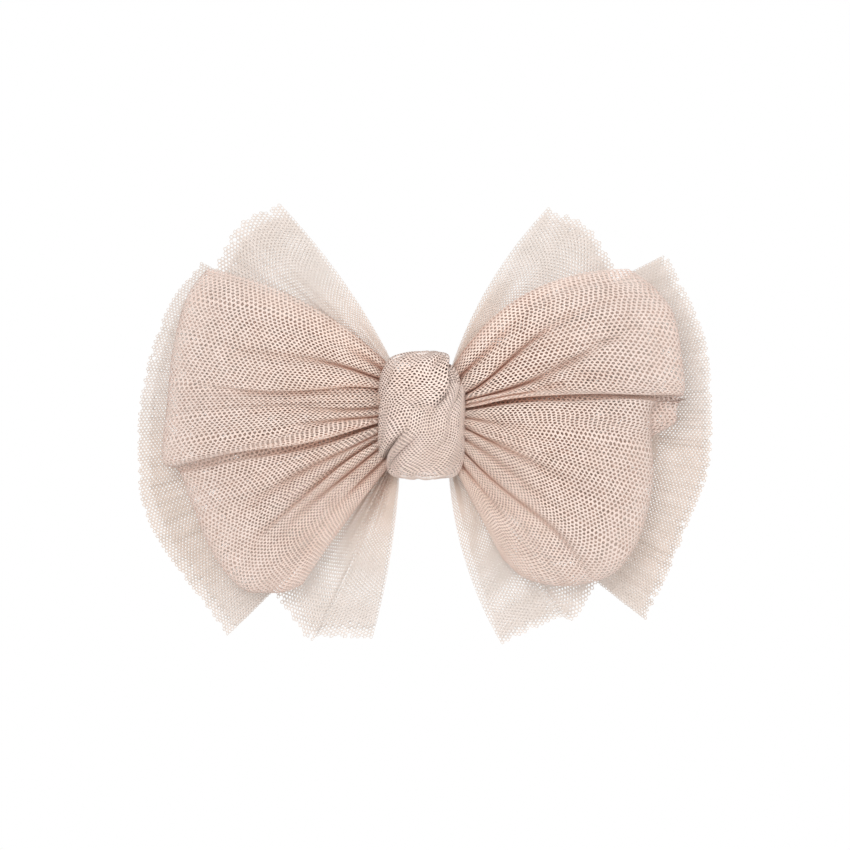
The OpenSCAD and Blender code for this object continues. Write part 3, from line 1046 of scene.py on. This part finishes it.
def torsion_spring():
    """A wound wire with a leg along each arm."""
    pin_x = (box("hinge_pin")[0][0] + box("hinge_pin")[1][0]) / 2
    wire, coil, high, turns = 0.25, 1.14, 0.83, 4
    upper_angle, open_angle = 0.024, math.radians(35.4)
    start = -math.pi / 2 - math.radians(1.4)
    end = math.pi / 2 + open_angle - 2 * turns * math.pi
    turn = np.linspace(start, end, 220)
    z = np.linspace(-high, high, len(turn))
    coils = np.stack([pin_x + coil * np.cos(turn), coil * np.sin(turn), z], 1)
    leg = np.linspace(6.6, 0.4, 14)[:, None]
    first = coils[0] + leg * np.array([math.cos(upper_angle), -math.sin(upper_angle), 0])
    last = coils[-1] + leg[::-1] * np.array([math.cos(open_angle), math.sin(open_angle), 0])
    piece = tube("torsion_spring_coil", np.vstack([first, coils, last]), wire, DRAWN_STEEL)
    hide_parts("torsion_spring")
    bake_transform(piece)


def clip():
    for name, finish in (
        ("clip_upper_arm", NICKEL), ("clip_lower_arm", NICKEL), ("hinge_pin", DRAWN_STEEL),
    ):
        nodes[name].data.materials.clear()
        nodes[name].data.materials.append(finish)
    torsion_spring()


# ---------------------------------------------------------------- studio


def white_world():
    """Plain white to the camera, and a softer light on the bow."""
    world = bpy.data.worlds.new("studio")
    bpy.context.scene.world = world
    world.use_nodes = True
    tree = world.node_tree
    lit = tree.nodes["Background"]
    lit.inputs["Color"].default_value = (1, 1, 1, 1)
    lit.inputs["Strength"].default_value = 0.67
    shown = node(tree, "ShaderNodeBackground", Color=(1, 1, 1, 1), Strength=1.0)
    path = tree.nodes.new("ShaderNodeLightPath")
    mix = tree.nodes.new("ShaderNodeMixShader")
    tree.links.new(path.outputs["Is Camera Ray"], mix.inputs[0])
    tree.links.new(lit.outputs[0], mix.inputs[1])
    tree.links.new(shown.outputs[0], mix.inputs[2])
    tree.links.new(mix.outputs[0], tree.nodes["World Output"].inputs["Surface"])


def area_light(name, place, size, watts):
    light = bpy.data.lights.new(name, "AREA")
    light.size = size
    light.energy = watts
    lamp = in_scene(name, light)
    lamp.location = place
    lamp.rotation_mode = "QUATERNION"
    lamp.rotation_quaternion = Vector(place).to_track_quat("Z", "Y")


def pale_floor():
    mesh = bpy.data.meshes.new("floor")
    low, back, height = -0.6, 0.3, -0.16
    corners = [(low, low, height), (-low, low, height), (-low, back, height), (low, back, height)]
    mesh.from_pydata(corners, [], [(0, 1, 2, 3)])
    dark, light = srgb(236, 235, 233), srgb(242, 241, 240)
    mesh.materials.append(
        soft_material("pale_floor", dark, light, rough=0.8, scale=20, height=0.0001)
    )
    in_scene("floor", mesh)


def front_camera():
    """Straight at the front, with the frame 187 mm wide at the bow."""
    lens = bpy.data.cameras.new("camera")
    camera = in_scene("camera", lens)
    far, frame_width = 0.9, 0.187
    right, bow_front, height = 0.0002, 0.011, -0.0022
    lens.lens = lens.sensor_width * far / frame_width
    camera.location = (right, -far - bow_front, height)
    camera.rotation_euler = (math.pi / 2, 0, 0)
    bpy.context.scene.camera = camera


def studio():
    bpy.context.scene.view_settings.view_transform = "Standard"
    white_world()
    area_light("key", (-0.2, -0.9, 0.28), size=0.4, watts=5.5)
    area_light("fill", (0.7, -0.6, 0.1), size=0.6, watts=2.3)
    area_light("back", (0.3, 0.8, 0.5), size=0.5, watts=2.2)
    pale_floor()
    front_camera()


# ---------------------------------------------------------------- the bow

studio()
waist_thread()
tails()
loops()
knot()
ribbon_lining()
glue_pad()
grip_pad()
clip()
